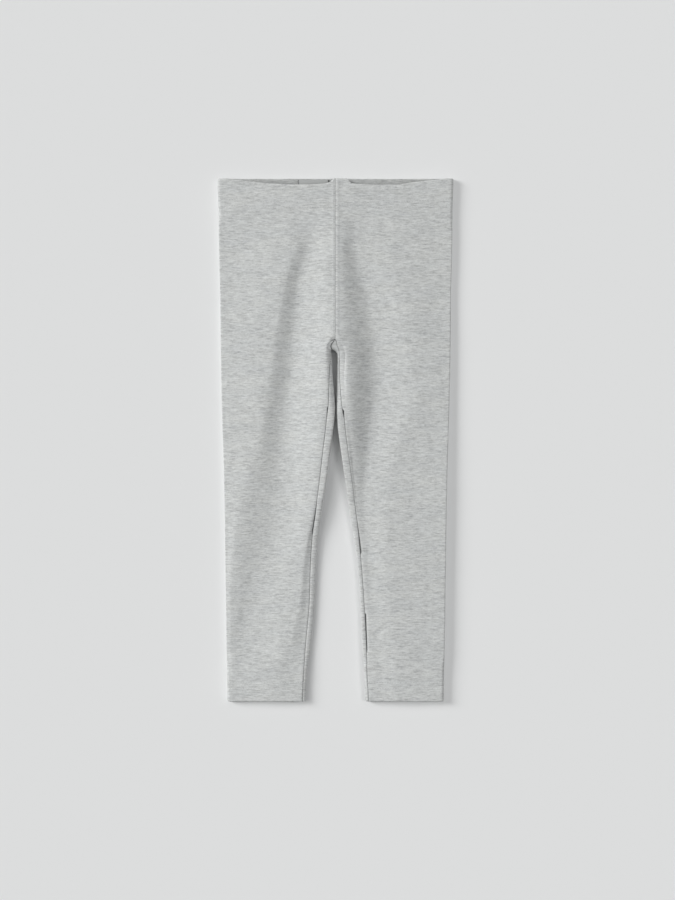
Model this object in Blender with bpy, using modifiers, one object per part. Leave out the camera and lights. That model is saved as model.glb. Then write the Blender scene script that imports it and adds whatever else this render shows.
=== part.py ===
"""Toddler leggings laid flat on their back, front up: two leg panels and a plain waist label.

Frame: metres, origin on the ground under the middle of the garment, +X to the wearer's left,
+Y towards the waist, +Z up out of the front. Sizes below are in millimetres. Each leg panel is
one cut of cloth with no side seam: its grid runs round the leg from the front edge to the back
edge, and along it from the turned-in waist casing to the turned-up hem.
"""

import math

import bmesh
import bpy
from mathutils import Vector

MM = 0.001

# Driving sizes. "down" is a distance below the waist edge, "across" one from the centre line.
LENGTH = 522.0
CLOTH = 1.0  # thickness of the jersey wall
SEAM_GAP = 0.3  # between the two edges that a seam joins
SEAM_LIP = 0.8  # narrow cell beside a seam, so that its edge stands square to the cloth
FRONT_RISE = 161.0  # waist edge to crotch point
CASING_DEPTH = 28.0  # turned in at the waist
HEM_DEPTH = 20.0  # turned up at the ankle
TURN_RADIUS = 0.75  # middle of the wall, where casing and hem turn
FLOOR = CLOTH / 2  # height of the middle of the wall that lies on the ground
FLANK_SKEW = {"right": 0.8, "left": 1.0}  # below 1, a flank falls fastest near its ridge
RIM_WIDTH = 5.0  # how far behind the outer fold the front's rim is felt

# The fork, where the two inner leg rolls meet under the crotch point.
FORK_SIDE = 174.5  # down, where the fork's round end starts on each leg
FORK_END = 170.5  # down, the fork's end on the centre line
FORK_LENGTH = 14.0  # run of the roll round that end
FORK_SAG = 8.5  # how far the crotch row sags into the fork
SAG_LEFT = 0.4  # share of the sag where the back seam leaves the fork for the ground
SAG_FADES = 15.0  # how fast the sag fades along the leg
BACK_EASE = 24.4  # length by which the back rise passes the front one
EASE_FADES = 12.0  # how fast the back rows take it up above the crotch
BACK_REACH = (4.0, 10.0)  # run of each back row's end cells, at the crotch and far above it

# The label inside the back waist, lying on the casing.
LABEL_ACROSS = (-37.5, -6.5)
LABEL_DOWN = (1.3, 12.5)
LABEL_THICKNESS = 1.0
LABEL_EDGE = 0.25

# Grid of a panel: cells round the leg, and the rows along it. Steps are laid along a curve
# before it is cut into cells.
FRONT_CELLS = 15
FOLD_CELLS = 4
BACK_CELLS = 6
ROLL_CELLS = 10
TURN_CELLS = 4
FRONT_STEPS = 60
ROLL_STEPS = 90
BEND_PITCH = 3.0  # length that a bend of one radian counts for when a curve is cut into cells
OVER_STEPS = 14  # from the inseam over the top of the roll
LEAST_OVER = 0.02  # radians, below which the inseam lies on the roll's top
TURN_DOWN = TURN_RADIUS + CLOTH / 2  # where the outer ply starts, below the edge
CASING_ROWS = (CASING_DEPTH, 19.0, 11.0)
BODY_ROWS = (5, 11, 19, 28, 40, 52, 66, 80, 94, 108, 121, 133, 142, 147)
CROTCH_ROWS = (150.7, 152.1, 153.4, 154.7, 155.9, 157, 158.1, 159.1, 160.1)
FORK_TURNS = (90, 76, 60, 40, 20, 0)  # degrees round the fork's end
LEG_ROWS = (180, 188, 198, 210, 223, 238, 254, 271, 289, 308, 328, 349, 371, 394, 418, 443, 468)
HEM_ROWS = (488.0, LENGTH - HEM_DEPTH, 512.0)


class Table:
    """Rows of sizes with named columns, read on a smooth curve through the rows."""

    def __init__(self, columns, *rows):
        self.columns = columns
        self.rows = rows

    def tangent(self, n, value):
        """Slope at a row, flat at peaks and ends so that the curve never overshoots."""
        if n in (0, len(self.rows) - 1):
            return 0.0
        a, b, c = self.rows[n - 1 : n + 2]
        before = (b[value] - a[value]) / (b[0] - a[0])
        after = (c[value] - b[value]) / (c[0] - b[0])
        return 2 * before * after / (before + after) if before * after > 0 else 0.0

    def at(self, place, column):
        value = self.columns.index(column)
        place = min(max(place, self.rows[0][0]), self.rows[-1][0])
        n = next(i for i in range(len(self.rows) - 1) if place <= self.rows[i + 1][0])
        low, high = self.rows[n], self.rows[n + 1]
        run = high[0] - low[0]
        t = (place - low[0]) / run
        ends = low[value] * (1 + 2 * t) * (1 - t) ** 2 + high[value] * t * t * (3 - 2 * t)
        slopes = self.tangent(n, value) * t * (1 - t) ** 2
        return ends + run * (slopes - self.tangent(n + 1, value) * t * t * (1 - t))


# Outer side of a leg: its fold's place and height, the radius of the fold's two corners, and
# how far the front stands above the fold just behind it.
OUTLINE_COLUMNS = ("down", "half_width", "fold_height", "fold_reach", "rim")
OUTLINE = {
    "right": Table(
        OUTLINE_COLUMNS,
        (0, 117.8, 5.8, 2.4, 0.0),
        (34, 116.8, 5.6, 2.3, 0.0),
        (60, 116.6, 4.4, 0.7, 0.0),
        (120, 115.2, 4.0, 0.6, 0.1),
        (160, 114.8, 4.0, 0.6, 0.5),
        (240, 113.2, 4.0, 0.6, 0.7),
        (280, 111.9, 4.0, 0.6, 0.7),
        (320, 111.0, 4.0, 0.6, 0.7),
        (400, 109.8, 4.0, 0.6, 0.5),
        (470, 108.8, 4.2, 0.7, 0.4),
        (496, 108.3, 5.6, 2.3, 0.0),
        (522, 108.0, 5.6, 2.3, 0.0),
    ),
    "left": Table(
        OUTLINE_COLUMNS,
        (0, 117.8, 5.8, 2.4, 0.0),
        (34, 116.8, 5.6, 2.3, 0.0),
        (60, 116.6, 5.0, 0.7, 0.0),
        (120, 115.2, 4.8, 0.6, 0.0),
        (160, 114.8, 5.2, 0.6, 0.0),
        (240, 113.2, 5.8, 0.6, 0.0),
        (280, 111.9, 6.4, 0.6, 0.0),
        (320, 111.0, 6.8, 0.6, 0.0),
        (400, 109.8, 6.8, 0.6, 0.0),
        (470, 108.8, 6.8, 0.7, 0.0),
        (496, 108.3, 6.6, 2.3, 0.0),
        (522, 108.0, 6.4, 2.3, 0.0),
    ),
}

# Inner side of a leg: where its edge and its inseam are, and how wide and high its roll is.
# "roll_square" is 1 where the roll is an oval, and less the boxier it is.
INNER_COLUMNS = ("down", "edge", "inseam", "roll_width", "roll_height", "roll_square")
INNER = {
    "right": Table(
        INNER_COLUMNS,
        (174.5, 4.2, 5.4, 4.9, 12.6, 0.85),
        (184, 3.2, 5.5, 5.6, 12.8, 0.8),
        (196, 2.0, 6.1, 6.4, 12.8, 0.75),
        (211, 1.1, 6.5, 7.0, 12.7, 0.65),
        (221, 0.6, 6.8, 7.4, 12.5, 0.5),
        (229, 0.4, 7.4, 7.4, 12.3, 0.42),
        (237, 0.9, 8.4, 7.2, 12.1, 0.38),
        (246, 1.9, 10.1, 7.0, 11.8, 0.35),
        (271, 5.3, 13.5, 6.6, 11.2, 0.35),
        (301, 9.2, 16.8, 6.2, 10.2, 0.35),
        (331, 13.8, 19.4, 5.6, 8.6, 0.35),
        (361, 18.4, 23.6, 5.6, 6.4, 0.42),
        (391, 20.4, 25.5, 5.5, 5.2, 0.5),
        (421, 21.8, 26.3, 5.1, 4.8, 0.55),
        (466, 25.4, 29.9, 4.8, 4.8, 0.6),
        (496, 28.7, 31.8, 2.4, 5.8, 1.0),
        (522, 30.0, 32.9, 2.4, 5.8, 1.0),
    ),
    "left": Table(
        INNER_COLUMNS,
        (174.5, 2.1, 4.2, 7.2, 11.0, 1.0),
        (184, 1.7, 4.0, 7.0, 9.6, 0.95),
        (196, 1.5, 4.1, 6.6, 9.4, 0.85),
        (211, 1.3, 5.0, 6.6, 10.4, 0.6),
        (221, 1.1, 5.8, 6.8, 11.0, 0.45),
        (229, 1.1, 6.6, 6.8, 11.0, 0.38),
        (246, 2.1, 9.9, 6.8, 10.2, 0.35),
        (271, 5.3, 13.6, 6.6, 9.0, 0.35),
        (301, 9.8, 17.5, 6.2, 6.8, 0.35),
        (331, 14.0, 20.5, 5.6, 5.2, 0.38),
        (361, 18.9, 23.6, 5.0, 4.7, 0.45),
        (391, 22.8, 26.3, 4.6, 4.5, 0.55),
        (421, 25.0, 28.5, 4.4, 4.4, 0.6),
        (466, 27.0, 30.8, 4.1, 4.6, 0.65),
        (496, 28.7, 31.8, 2.4, 5.8, 1.0),
        (522, 30.0, 32.9, 2.4, 5.8, 1.0),
    ),
}

# Relief of each front, heights of the cloth's upper face: an outer swell, the crease beside the
# thigh and the ridge that runs down the inner leg. "centre" is the height on the front seam.
RELIEF_COLUMNS = (
    "down", "swell_across", "swell", "crease_across", "crease", "ridge_across", "ridge", "centre",
)
RELIEF = {
    "right": Table(
        RELIEF_COLUMNS,
        (0, 60, 6.6, 36, 6.8, 9, 6.8, 6.8),
        (30, 56, 6.5, 30, 6.4, 9, 6.6, 6.8),
        (51, 48, 7.2, 24, 5.5, 9, 7.0, 7.2),
        (71, 43, 7.8, 26.5, 4.9, 7, 8.2, 8.4),
        (91, 49, 7.9, 33.5, 4.2, 7, 9.1, 9.3),
        (121, 55, 7.6, 38, 3.2, 5, 10.3, 10.4),
        (161, 62, 7.7, 42, 2.7, 4, 12.1, 12.0),
        (196, 66, 7.7, 45, 2.7, 10, 12.6, 12.0),
        (221, 72, 7.5, 49, 2.7, 12, 12.2, 12.0),
        (271, 80, 7.1, 53, 2.7, 16, 10.9, 12.0),
        (301, 89, 6.7, 55, 2.7, 19, 10.0, 12.0),
        (331, 95, 6.4, 58, 2.7, 22, 8.8, 12.0),
        (361, 100, 6.2, 64, 2.7, 28, 7.6, 12.0),
        (391, 103.5, 5.7, 74, 2.9, 31.5, 7.0, 12.0),
        (421, 104.5, 5.3, 83, 3.2, 34, 6.8, 12.0),
        (461, 104.5, 5.0, 91, 4.0, 44, 6.8, 12.0),
        (496, 103, 5.9, 95, 5.6, 62, 6.8, 12.0),
        (522, 103, 5.9, 95, 5.7, 62, 6.6, 12.0),
    ),
    "left": Table(
        RELIEF_COLUMNS,
        (0, 60, 6.4, 36, 6.4, 9, 6.6, 6.8),
        (30, 56, 6.4, 26, 6.2, 9, 6.6, 6.8),
        (51, 52, 6.4, 20, 5.2, 5, 7.0, 7.2),
        (71, 58, 6.4, 20, 4.2, 4.5, 8.2, 8.4),
        (91, 62, 6.4, 25, 3.3, 4, 9.2, 9.3),
        (121, 70, 6.3, 34, 2.7, 4.5, 10.3, 10.4),
        (161, 78, 6.4, 40, 2.7, 6, 12.0, 12.0),
        (196, 80, 6.6, 41, 2.7, 11, 12.0, 12.0),
        (221, 80, 6.8, 39, 2.7, 12, 11.4, 12.0),
        (246, 72, 6.8, 37, 2.7, 14, 9.8, 12.0),
        (271, 62, 6.5, 33.5, 2.9, 16, 7.8, 12.0),
        (301, 56, 6.3, 30, 3.4, 18.5, 5.6, 12.0),
        (331, 54, 6.5, 28.5, 3.9, 22, 4.6, 12.0),
        (361, 52, 6.8, 30.5, 4.2, 27, 4.5, 12.0),
        (391, 54, 7.0, 32.5, 4.5, 29, 4.7, 12.0),
        (421, 58, 7.0, 35, 4.7, 31.5, 4.8, 12.0),
        (461, 61, 7.1, 37.5, 5.1, 34, 5.0, 12.0),
        (496, 62, 7.2, 42, 6.0, 36, 5.8, 12.0),
        (522, 62, 7.0, 42, 5.9, 36, 5.8, 12.0),
    ),
}

# How far the slack front waist edge dips below the back one.
DIP_COLUMNS = ("across", "dip")
DIP = {
    "right": Table(
        DIP_COLUMNS,
        (0, 0), (1.2, 0), (5, 3.2), (10, 5.0), (25, 6.1), (42, 6.2), (60, 5.4), (80, 3.8),
        (99, 1.2), (110, 0),
    ),
    "left": Table(
        DIP_COLUMNS,
        (0, 0), (11.5, 0), (16, 5.0), (30, 6.0), (45, 6.4), (60, 6.2), (72, 4.6), (84, 3.0),
        (100, 1.2), (112, 0),
    ),
}
DIP_FADES = 40.0  # down, where the front rows are level again

SIDES = {"right": -1, "left": 1}  # the wearer's legs, and where they lie along X


def smooth_step(t):
    t = min(1.0, max(0.0, t))
    return t * t * (3 - 2 * t)


def middle(outer_height):
    """Height of the middle of a wall whose upper face is this high."""
    return outer_height - CLOTH / 2


def fold_radius(side, down):
    """Half the height of the outer fold, at the middle of the wall."""
    return (OUTLINE[side].at(down, "fold_height") - CLOTH) / 2


def fold_start(side, down):
    """Distance from the centre line to where the front turns into the outer fold."""
    outline = OUTLINE[side]
    return outline.at(down, "half_width") - CLOTH / 2 - outline.at(down, "fold_reach")


def roll_point(side, turn, down, theta):
    """A point of the roll over the inner edge, from its top at theta 0 to its foot at theta pi.

    Turn goes round the fork's end, from 0 on the leg to pi / 2 on the centre line.
    """
    inner = INNER[side]
    edge = inner.at(down, "edge") + CLOTH / 2
    top = edge + inner.at(down, "roll_width")
    leg_height = middle(inner.at(down, "roll_height"))
    crotch_height = middle(RELIEF[side].at(FRONT_RISE, "centre"))
    height = leg_height + (crotch_height - leg_height) * smooth_step(2 * turn / math.pi)
    seam = SEAM_GAP / 2
    top_across = seam + (top - seam) * math.cos(turn)
    edge_across = seam + (edge - seam) * math.cos(turn)
    top_down = down - (FORK_SIDE - FRONT_RISE) * math.sin(turn)
    edge_down = down - (FORK_SIDE - FORK_END) * math.sin(turn)
    square = 1 - (1 - inner.at(down, "roll_square")) * math.cos(turn)
    out = max(0.0, math.sin(theta)) ** square
    high = math.copysign(abs(math.cos(theta)) ** square, math.cos(theta))
    return Vector(
        (
            top_across + (edge_across - top_across) * out,
            top_down + (edge_down - top_down) * out,
            FLOOR + (height - FLOOR) / 2 * (1 + high),
        )
    )


def roll_along(side, run, theta):
    """The same point by its run from the start of the fork's end, which is below zero on the leg."""
    if run > 0:
        return roll_point(side, run / FORK_LENGTH * math.pi / 2, FORK_SIDE, theta)
    return roll_point(side, 0.0, FORK_SIDE - run, theta)


def inseam_theta(side, run):
    """Where the inseam lies on the roll. It ends on the roll's top at the crotch point."""
    inner = INNER[side]
    down = FORK_SIDE - min(run, 0.0)
    inward = inner.at(down, "inseam") - inner.at(down, "edge") - CLOTH / 2
    share = max(0.0, 1 - inward / inner.at(down, "roll_width"))
    theta = math.asin(share ** (1 / inner.at(down, "roll_square")))
    return theta * (1 - max(run, 0.0) / FORK_LENGTH)


def front_height(side, across, down, start):
    """Height of the front between its start, on the roll or the seam, and the outer fold."""
    relief = RELIEF[side]
    end = fold_start(side, down)
    rim = OUTLINE[side].at(down, "rim")
    dropped = rim * math.exp((across - end) / RIM_WIDTH)
    knots = [
        (start.x, start.z),
        (max(relief.at(down, "ridge_across"), start.x + 1), middle(relief.at(down, "ridge"))),
        (relief.at(down, "crease_across"), middle(relief.at(down, "crease"))),
        (relief.at(down, "swell_across"), middle(relief.at(down, "swell"))),
        (end, FLOOR + 2 * fold_radius(side, down) + rim),
    ]
    skews = (1, FLANK_SKEW[side], 1, 1)
    for (x0, z0), (x1, z1), skew in zip(knots, knots[1:], skews):
        if across <= x1:
            share = max(0.0, (across - x0) / (x1 - x0)) ** skew
            return z0 + (z1 - z0) * smooth_step(share) - dropped
    return knots[-1][1] - rim


def resample(points, places, lengths):
    """Points at these places along a line of points with these lengths."""
    found = []
    i = 0
    for place in places:
        while i < len(points) - 2 and lengths[i + 1] < place:
            i += 1
        step = lengths[i + 1] - lengths[i]
        found.append(points[i].lerp(points[i + 1], (place - lengths[i]) / step if step else 0))
    return found


def measured(points):
    """Distance of each point along its line."""
    lengths = [0.0]
    for a, b in zip(points, points[1:]):
        lengths.append(lengths[-1] + (b - a).length)
    return lengths


def measured_with_bends(points):
    """The same with bends counted too, so that even cells grow narrow at a corner."""
    lengths = [0.0]
    for n in range(1, len(points)):
        step = points[n] - points[n - 1]
        ahead = points[n + 1] - points[n] if n + 1 < len(points) else step
        lengths.append(lengths[-1] + step.length + BEND_PITCH * step.angle(ahead, 0.0))
    return lengths


def from_seam(points, count, trim=0.0):
    """A line cut into cells from a seam on: trimmed, then a lip, then cells to its end."""
    low = trim + SEAM_LIP
    lengths = measured(points)
    edge, lip = resample(points, [trim, low], lengths)
    rest = [lip] + [point for point, length in zip(points, lengths) if length > low]
    lengths = measured_with_bends(rest)
    places = [lengths[-1] * n / (count - 1) for n in range(count)]
    return [edge] + resample(rest, places, lengths)


def to_seam(points, count, trim=0.0):
    """The same for a line that ends on a seam."""
    return from_seam(points[::-1], count, trim)[::-1]


def over_roll(side, run, theta):
    """Steps on the roll from the inseam at theta to just before its top."""
    if theta < LEAST_OVER:
        return []
    return [roll_along(side, run, theta * (1 - n / OVER_STEPS)) for n in range(OVER_STEPS)]


def across_front(side, start):
    """Steps over the front from its start, on the roll's top or the seam, to the outer fold."""
    end = fold_start(side, start.y)
    line = []
    for n in range(FRONT_STEPS + 1):
        across = start.x + (end - start.x) * n / FRONT_STEPS
        line.append(Vector((across, start.y, front_height(side, across, start.y, start))))
    return line


def fold_line(side, down):
    """Round the outer fold: a corner above, an upright side and a corner below."""
    radius = fold_radius(side, down)
    reach = OUTLINE[side].at(down, "fold_reach")
    start = fold_start(side, down)
    half = FOLD_CELLS // 2
    line = []
    for n in range(FOLD_CELLS + 1):
        theta = math.pi * n / FOLD_CELLS
        upright = (radius - reach) * ((n < half) - (n > half))
        height = FLOOR + radius + reach * math.cos(theta) + upright
        line.append(Vector((start + reach * math.sin(theta), down, height)))
    return line


def back_line(side, down, end):
    """Along the ground from the outer fold to a point near the centre, sagging towards it."""
    start = Vector((fold_start(side, down), down, FLOOR))
    line = []
    for n in range(BACK_CELLS + 1):
        t = n / BACK_CELLS
        point = start.lerp(end, t)
        point.y = down + (end.y - down) * t * t
        line.append(point)
    return line


def join(*lines):
    """Lines that share their ends, as one line."""
    whole = list(lines[0])
    for line in lines[1:]:
        whole += line[1:]
    return whole


def body_row(side, down):
    """A row above the crotch, from the front seam to the back seam."""
    rise = FRONT_RISE - down
    start = Vector((SEAM_GAP / 2, down, middle(RELIEF[side].at(down, "centre"))))
    passed = rise + BACK_EASE * (1 - math.exp(-rise / EASE_FADES))
    if passed < BACK_EASE:  # the back seam is still on the fork's roll
        share = passed / BACK_EASE
        low = FORK_LENGTH - FORK_SAG * (1 - (1 - SAG_LEFT) * share)
        near_seam = roll_path(side, low, FORK_LENGTH, math.pi * share)
    else:
        on_ground = passed - BACK_EASE
        centre = Vector((SEAM_GAP / 2, FRONT_RISE - on_ground, FLOOR))
        grows = 1 - math.exp(-on_ground / BACK_EASE)
        reach = BACK_REACH[0] + (BACK_REACH[1] - BACK_REACH[0]) * grows
        share = 1 - reach / fold_start(side, down)
        near = Vector((reach, down + (centre.y - down) * share * share, FLOOR))
        near_seam = [near, centre]
    front = from_seam(across_front(side, start), FRONT_CELLS)
    back = back_line(side, down, near_seam[0])
    return join(front, fold_line(side, down), back, to_seam(near_seam, ROLL_CELLS))


def roll_path(side, low, high, theta):
    """Up the roll from its foot at one run to a point at another run and this theta."""
    path = []
    for n in range(ROLL_STEPS + 1):
        t = n / ROLL_STEPS
        path.append(roll_along(side, low + (high - low) * t, math.pi + (theta - math.pi) * t))
    return path


def leg_row(side, run):
    """A row at or below the crotch, from the inseam round the leg and back to it."""
    theta = inseam_theta(side, run)
    start = roll_along(side, run, 0.0)
    low = run - FORK_SAG * math.exp((run - FORK_LENGTH) / SAG_FADES)
    path = roll_path(side, low, run, theta)
    over = over_roll(side, run, theta)
    front = from_seam(over + across_front(side, start), FRONT_CELLS, trim=SEAM_GAP / 2)
    inner = to_seam(path, ROLL_CELLS, trim=SEAM_GAP / 2)
    back = back_line(side, start.y, path[0])
    return join(front, fold_line(side, start.y), back, inner)


def row_at(side, down):
    return body_row(side, down) if down < FRONT_RISE else leg_row(side, FORK_SIDE - down)


def inward(row):
    """Direction into the leg at each point of a row, square to it.

    It is upright on the centre seams and the same on both sides of the inseam.
    """
    directions = []
    for n in range(len(row)):
        along = row[min(n + 1, len(row) - 1)] - row[max(n - 1, 0)]
        directions.append(Vector((along.z, 0, -along.x)).normalized())
    if row[0].y < FRONT_RISE:
        directions[0] = Vector((0, 0, -1))
        directions[-1] = Vector((0, 0, 1))
    else:
        directions[0] = (directions[0] + directions[-1]).normalized()
        directions[-1] = directions[0]
    return directions


def turned_row(side, down, psi, away):
    """The row at this place, turned in over the edge by psi, which ends at pi on the inner ply.

    Away is -1 where the edge lies above the row, 1 where it lies below, and 0 on the inner ply.
    """
    base = row_at(side, down)
    over = Vector((0, away * TURN_RADIUS * math.sin(psi), 0))
    depth = TURN_RADIUS * (1 - math.cos(psi))
    return [point + over + depth * into for point, into in zip(base, inward(base))]


def with_dip(side, row):
    """The row with its front pulled down by the slack of the waist edge."""
    moved = []
    for n, point in enumerate(row):
        fade = max(0.0, 1 - point.y / DIP_FADES)
        dip = DIP[side].at(point.x, "dip") * fade if n <= FRONT_CELLS else 0
        moved.append(point + Vector((0, dip, 0)))
    return moved


def panel_rows(side):
    """All rows of a panel, from the casing's end to the hem's end."""
    rows = []
    turns = [math.pi * n / TURN_CELLS for n in range(TURN_CELLS + 1)]
    for down in CASING_ROWS:
        rows.append(turned_row(side, down, math.pi, 0))
    for psi in reversed(turns):
        rows.append(turned_row(side, TURN_DOWN, psi, -1))
    for down in BODY_ROWS + CROTCH_ROWS:
        rows.append(body_row(side, down))
    for angle in FORK_TURNS:
        rows.append(leg_row(side, FORK_LENGTH * angle / 90))
    for down in LEG_ROWS + HEM_ROWS:
        rows.append(leg_row(side, FORK_SIDE - down))
    for psi in turns:
        rows.append(turned_row(side, LENGTH - TURN_DOWN, psi, 1))
    for down in HEM_ROWS[:0:-1]:
        rows.append(turned_row(side, down, math.pi, 0))
    return [with_dip(side, row) for row in rows]


def to_frame(side, point):
    """From across, down and height in millimetres to the object's frame."""
    return Vector((SIDES[side] * point.x, LENGTH / 2 - point.y, point.z)) * MM


def material(name, color, roughness):
    made = bpy.data.materials.new(name)
    made.use_nodes = True
    shader = made.node_tree.nodes["Principled BSDF"]
    shader.inputs["Base Color"].default_value = color
    shader.inputs["Roughness"].default_value = roughness
    shader.inputs["Metallic"].default_value = 0.0
    made.diffuse_color = color
    return made


def link(obj, collection, finish):
    obj.data.materials.append(finish)
    obj.data.shade_smooth()
    collection.objects.link(obj)
    return obj


def leg_panel(side, collection, finish):
    """One leg panel: a grid laid over its rows and given the cloth's thickness."""
    rows = panel_rows(side)
    mesh = bpy.data.meshes.new(f"{side}_leg_panel")
    bm = bmesh.new()
    bmesh.ops.create_grid(bm, x_segments=len(rows[0]) - 1, y_segments=len(rows) - 1, size=1)
    bm.verts.ensure_lookup_table()
    points = [to_frame(side, point) for row in rows for point in row]
    for vert, point in zip(bm.verts, points):
        vert.co = point
    if SIDES[side] > 0:
        bmesh.ops.reverse_faces(bm, faces=bm.faces)
    bm.to_mesh(mesh)
    bm.free()
    panel = bpy.data.objects.new(mesh.name, mesh)
    wall = panel.modifiers.new("Cloth", "SOLIDIFY")
    wall.thickness = CLOTH * MM
    wall.offset = 0.0
    return link(panel, collection, finish)


def waist_label(collection, finish):
    """A plain tab that lies on the casing inside the back waist, by the centre."""
    casing_top = FLOOR + 2 * TURN_RADIUS + CLOTH / 2
    low = Vector((LABEL_ACROSS[0], LENGTH / 2 - LABEL_DOWN[1], casing_top + SEAM_GAP))
    high = Vector((LABEL_ACROSS[1], LENGTH / 2 - LABEL_DOWN[0], low.z + LABEL_THICKNESS))
    mesh = bpy.data.meshes.new("waist_label_plain")
    bm = bmesh.new()
    bmesh.ops.create_cube(bm, size=1)
    bmesh.ops.scale(bm, verts=bm.verts, vec=(high - low) * MM)
    bmesh.ops.translate(bm, verts=bm.verts, vec=(high + low) / 2 * MM)
    bmesh.ops.bevel(
        bm, geom=bm.edges[:], offset=LABEL_EDGE * MM, segments=1, affect="EDGES", profile=0.5
    )
    bm.to_mesh(mesh)
    bm.free()
    return link(bpy.data.objects.new(mesh.name, mesh), collection, finish)


def main():
    for obj in list(bpy.data.objects):
        bpy.data.objects.remove(obj, do_unlink=True)
    collection = bpy.data.collections.new("leggings")
    bpy.context.scene.collection.children.link(collection)
    jersey = {
        side: material(f"heather_jersey_{side}", (0.50, 0.51, 0.51, 1), 0.92) for side in SIDES
    }
    for side in SIDES:
        leg_panel(side, collection, jersey[side])
    waist_label(collection, material("woven_label", (0.42, 0.43, 0.43, 1), 0.6))


main()
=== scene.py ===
import math

import bmesh
import bpy
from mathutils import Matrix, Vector, noise


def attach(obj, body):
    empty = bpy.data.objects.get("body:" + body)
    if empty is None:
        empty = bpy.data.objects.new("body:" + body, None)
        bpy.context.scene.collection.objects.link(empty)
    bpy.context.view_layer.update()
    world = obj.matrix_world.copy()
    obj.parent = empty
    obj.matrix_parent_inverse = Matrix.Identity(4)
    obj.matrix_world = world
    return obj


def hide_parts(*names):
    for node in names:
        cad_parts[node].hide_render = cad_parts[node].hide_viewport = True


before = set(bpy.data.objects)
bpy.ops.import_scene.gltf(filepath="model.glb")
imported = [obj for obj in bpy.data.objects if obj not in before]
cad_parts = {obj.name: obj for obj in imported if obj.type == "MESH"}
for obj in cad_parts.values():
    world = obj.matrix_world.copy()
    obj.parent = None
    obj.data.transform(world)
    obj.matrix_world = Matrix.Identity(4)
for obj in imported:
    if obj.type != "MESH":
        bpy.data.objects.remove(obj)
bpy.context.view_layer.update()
mm = 0.001
sides = {"right": -1, "left": 1}  # the wearer's legs, and where they lie along X

# All sizes are in millimetres. "down" is a distance below the waist edge, "across" one from the
# centre line. A panel is one cut with no side seam: front, outer fold, back, inner roll.
cut = {
    "length": 522.0,
    "cloth": 1.0,
    "seamGap": 0.08,
    "seamLip": 0.6,  # width of the narrow cell beside a seam, over which its painted groove shade fades
    "frontRise": 161.0,
    "casingDepth": 28.0,
    "hemDepth": 20.0,
    "turnRadius": 0.75,  # of the cloth's middle, where it turns in at the waist and hem
    "forkSide": 174.5,  # where the fork's round end starts on each leg
    "forkEnd": 170.5,  # the fork's end on the centre line
    "forkLength": 14.0,
    "forkSag": 8.5,  # how far the roll's foot trails its top round the fork
    "sagLeft": 0.4,  # the share of that left where the back seam starts
    "sagFades": 15.0,  # the length of leg over which it fades
    "backEase": 24.4,  # length by which the back rise passes the front one
    "easeFades": 12.0,
    "backReach": (4.0, 10.0),  # width of the strip beside the back seam, low and high up
    "dipFades": 40.0,
    "flankSkew": {"right": 0.8, "left": 1.0},  # below 1, a flank falls fastest near its ridge
    "rimWidth": 5.0,  # how far behind the outer fold the front's rim is felt
}
floor = cut["cloth"] / 2  # height of the middle of the wall on the ground
mesh = {
    "front": 76, "fold": 10, "back": 26, "roll": 24,  # cells round the leg
    "turn": 8, "fork": 14,  # cells along it, over an edge and round the fork
    "casingRows": 8, "hemRows": 6,  # rows on the inner plies
    "plyPitch": 3.0,
    "rowPitch": 2.4,
    "firstDown": 3.0,  # the first row past an edge's turn
    "denseDown": 146.0, "denseRows": 24,  # closer rows from here to the crotch
    "bendPitch": 3.0,  # length that a bend of one radian counts for
    "frontSteps": 160, "rollSteps": 90, "overSteps": 14,  # points from which cells are spaced
}

# foldReach is the radius of the fold's two corners, rim the front's rise behind the fold.
outlineColumns = ("down", "halfWidth", "foldHeight", "foldReach", "rim")
outline = {
    "right": {
        "columns": outlineColumns,
        "rows": (
            (0, 117.8, 5.8, 2.4, 0.0), (34, 116.8, 5.6, 2.3, 0.0), (60, 116.6, 4.4, 0.7, 0.0),
            (120, 115.2, 4.0, 0.6, 0.1), (160, 114.8, 4.0, 0.6, 0.5), (240, 113.2, 4.0, 0.6, 0.7),
            (280, 111.9, 4.0, 0.6, 0.7), (320, 111.0, 4.0, 0.6, 0.7), (400, 109.8, 4.0, 0.6, 0.5),
            (470, 108.8, 4.2, 0.7, 0.4), (496, 108.3, 5.6, 2.3, 0.0), (522, 108.0, 5.6, 2.3, 0.0),
        ),
    },
    "left": {
        "columns": outlineColumns,
        "rows": (
            (0, 117.8, 5.8, 2.4, 0.0), (34, 116.8, 5.6, 2.3, 0.0), (60, 116.6, 5.0, 0.7, 0.0),
            (120, 115.2, 4.8, 0.6, 0.0), (160, 114.8, 5.2, 0.6, 0.0), (240, 113.2, 5.8, 0.6, 0.0),
            (280, 111.9, 6.4, 0.6, 0.0), (320, 111.0, 6.8, 0.6, 0.0), (400, 109.8, 6.8, 0.6, 0.0),
            (470, 108.8, 6.8, 0.7, 0.0), (496, 108.3, 6.6, 2.3, 0.0), (522, 108.0, 6.4, 2.3, 0.0),
        ),
    },
}
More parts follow.
